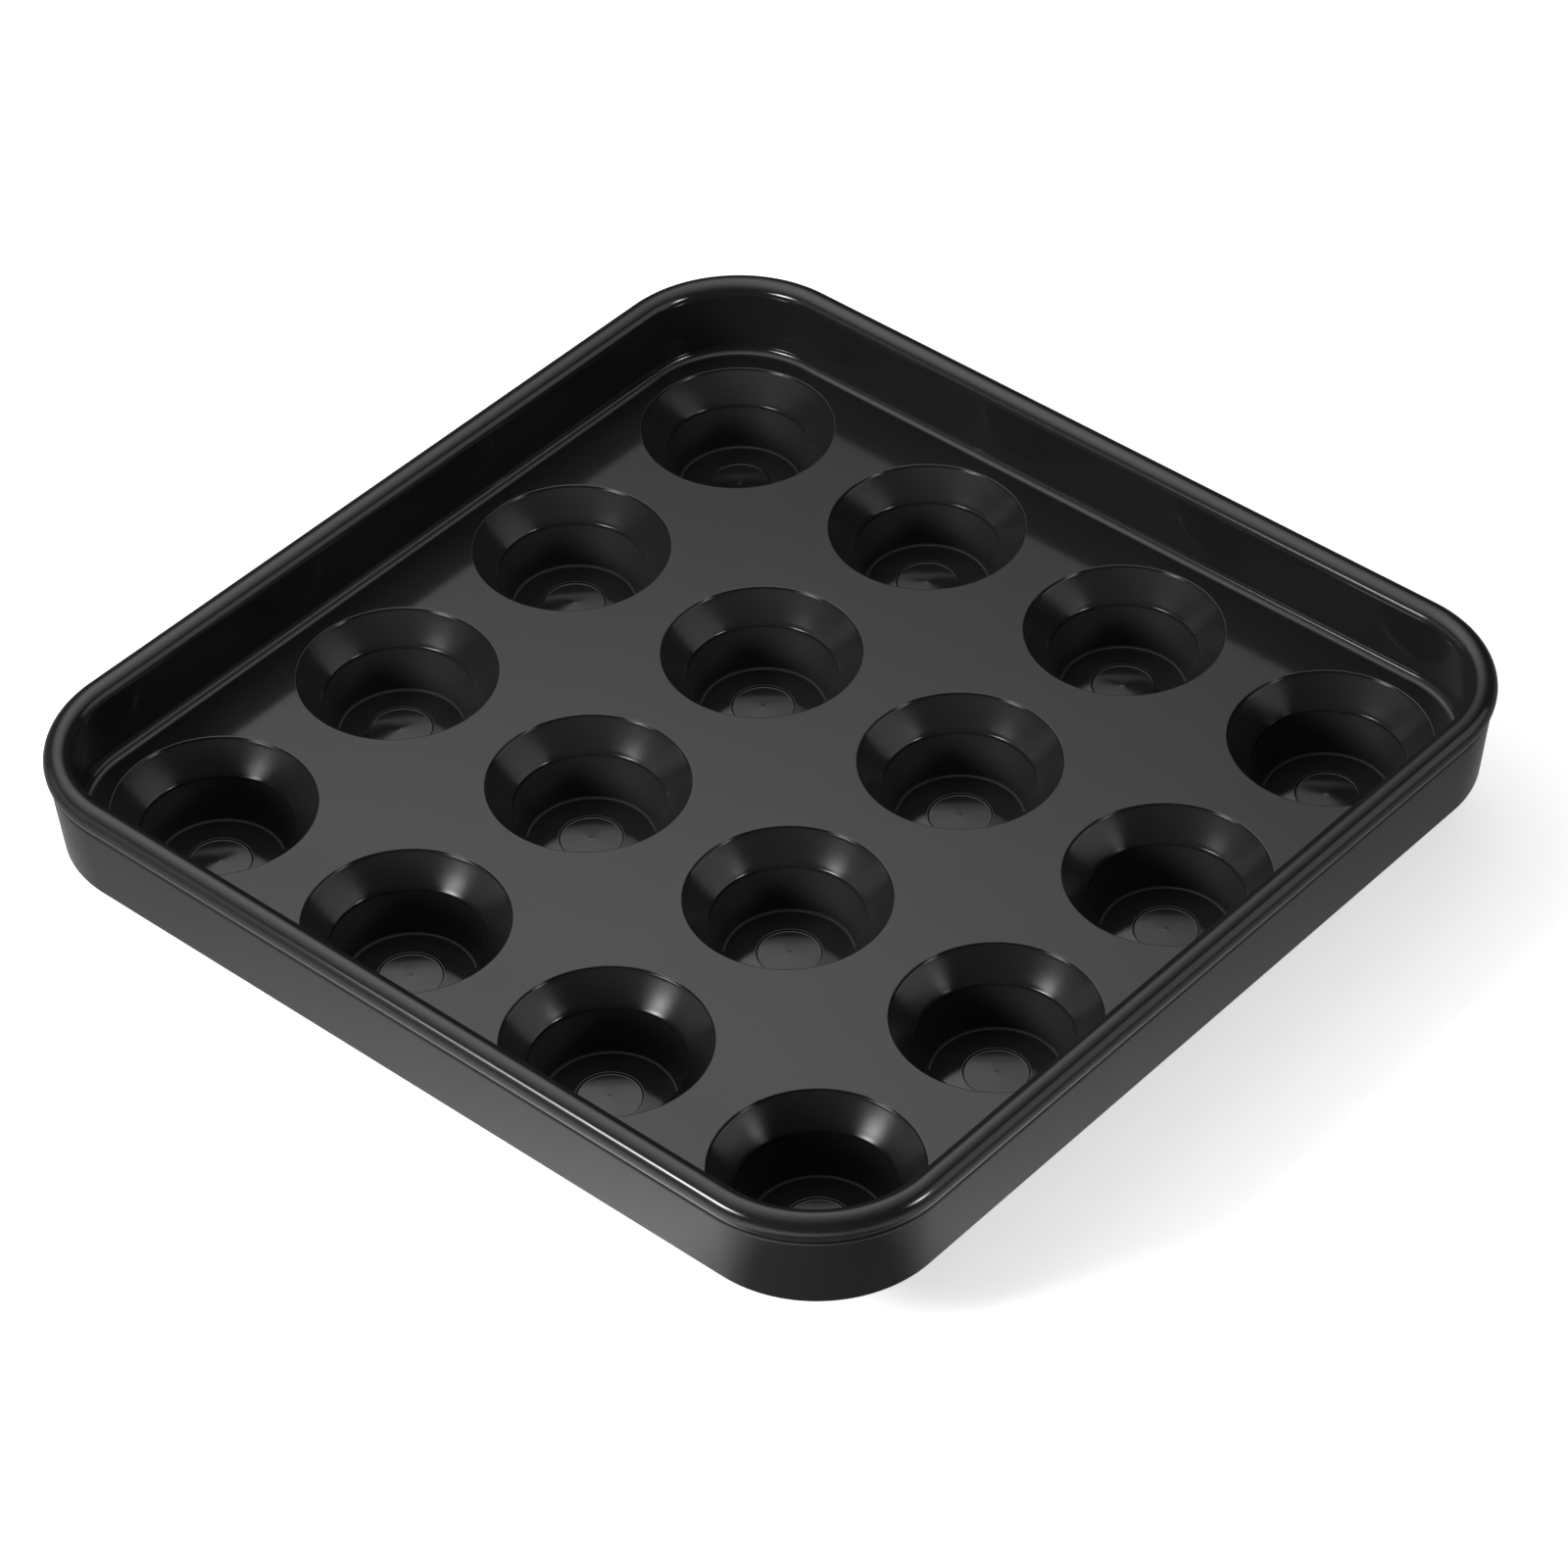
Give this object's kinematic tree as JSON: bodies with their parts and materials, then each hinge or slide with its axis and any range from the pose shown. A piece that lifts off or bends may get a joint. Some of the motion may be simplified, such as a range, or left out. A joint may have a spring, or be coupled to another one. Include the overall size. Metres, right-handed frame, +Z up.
{
  "type": "billiard ball tray",
  "caption": "Square moulded tray with a round-beaded rim and stepped round pockets in a flat deck that keep billiard balls apart.",
  "frame": {"origin": "middle of the tray, on the plane of the pockets' flat undersides", "axes": "+Z up out of the pockets, X and Y along the two pairs of equal sides; rows count from +Y and columns from -X"},
  "size_m": [0.3194, 0.3194, 0.0516],
  "materials": {
    "black_plastic": "gloss"
  },
  "bodies": {
    "root": {"rim": "black_plastic", "deck": "black_plastic", "ball_pocket_r1c1": "black_plastic", "ball_pocket_r1c2": "black_plastic", "ball_pocket_r1c3": "black_plastic", "ball_pocket_r1c4": "black_plastic", "ball_pocket_r2c1": "black_plastic", "ball_pocket_r2c2": "black_plastic", "ball_pocket_r2c3": "black_plastic", "ball_pocket_r2c4": "black_plastic", "ball_pocket_r3c1": "black_plastic", "ball_pocket_r3c2": "black_plastic", "ball_pocket_r3c3": "black_plastic", "ball_pocket_r3c4": "black_plastic", "ball_pocket_r4c1": "black_plastic", "ball_pocket_r4c2": "black_plastic", "ball_pocket_r4c3": "black_plastic", "ball_pocket_r4c4": "black_plastic"}
  },
  "joints": []
}
